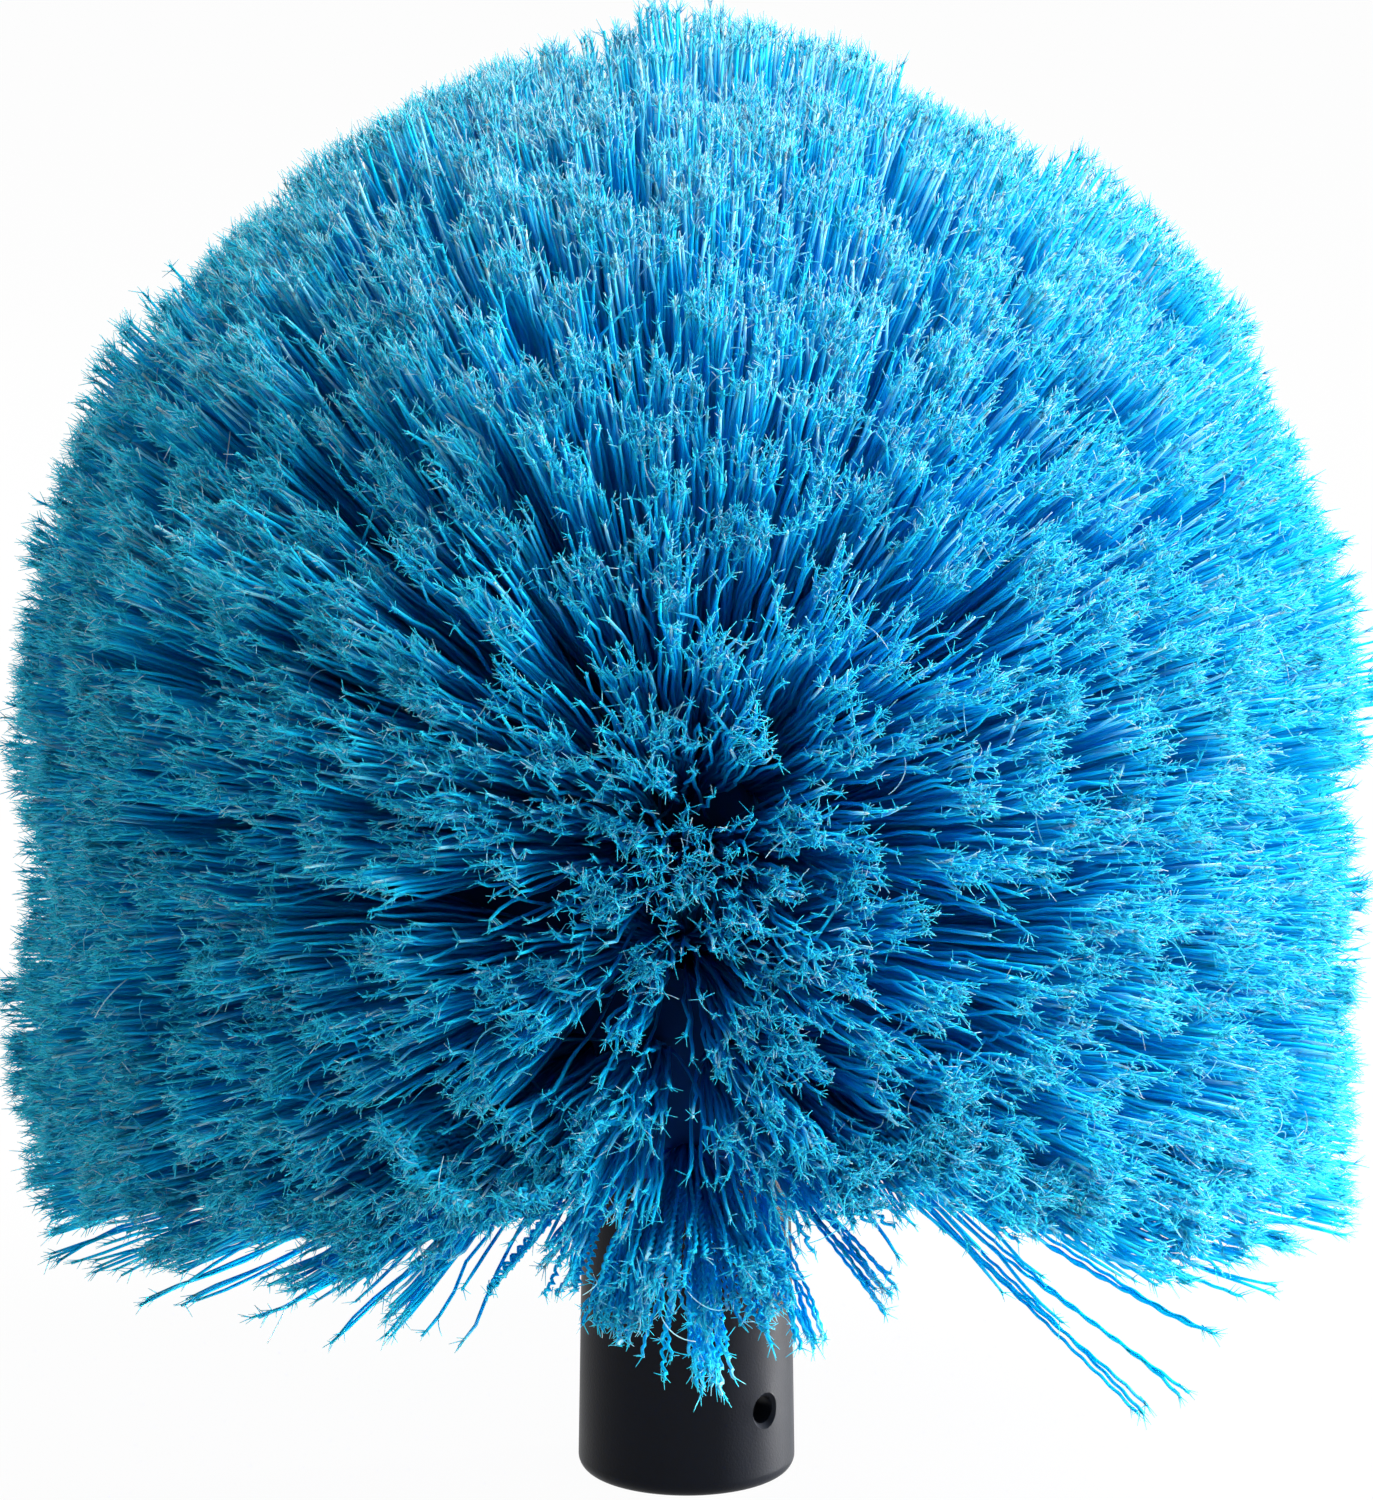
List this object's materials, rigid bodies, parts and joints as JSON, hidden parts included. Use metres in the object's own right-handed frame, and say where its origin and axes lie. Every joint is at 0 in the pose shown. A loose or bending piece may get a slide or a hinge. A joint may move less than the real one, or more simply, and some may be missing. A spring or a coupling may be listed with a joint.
{
  "type": "cobweb brush head",
  "caption": "Domed cobweb brush head: soft blue bristle tufts radiate from a bullet-shaped block on a black tapered socket that slips over a pole and is held by a screw.",
  "frame": {"origin": "centre of the pole socket's mouth", "axes": "+Z along the pole's axis, from the pole towards the crown of the bristles; -Y faces the picture's camera and +X is to its right"},
  "size_m": [0.2, 0.2, 0.2216],
  "materials": {
    "bristle": "crimped soft filaments with flagged ends, satin",
    "socket_plastic": "moulded black plastic, satin",
    "block_plastic": "moulded dark blue plastic, matt",
    "anchor_steel": "plain cut strip"
  },
  "bodies": {
    "root": {"bristles_row_01": "bristle", "anchors_row_01": "anchor_steel", "bristles_row_02": "bristle", "anchors_row_02": "anchor_steel", "bristles_row_03": "bristle", "anchors_row_03": "anchor_steel", "bristles_row_04": "bristle", "anchors_row_04": "anchor_steel", "bristles_row_05": "bristle", "anchors_row_05": "anchor_steel", "bristles_row_06": "bristle", "anchors_row_06": "anchor_steel", "bristles_row_07": "bristle", "anchors_row_07": "anchor_steel", "bristles_row_08": "bristle", "anchors_row_08": "anchor_steel", "bristles_row_09": "bristle", "anchors_row_09": "anchor_steel", "bristles_row_10": "bristle", "anchors_row_10": "anchor_steel", "bristles_crown": "bristle", "anchors_crown": "anchor_steel", "block": "block_plastic", "pole_socket": "socket_plastic"}
  },
  "joints": []
}
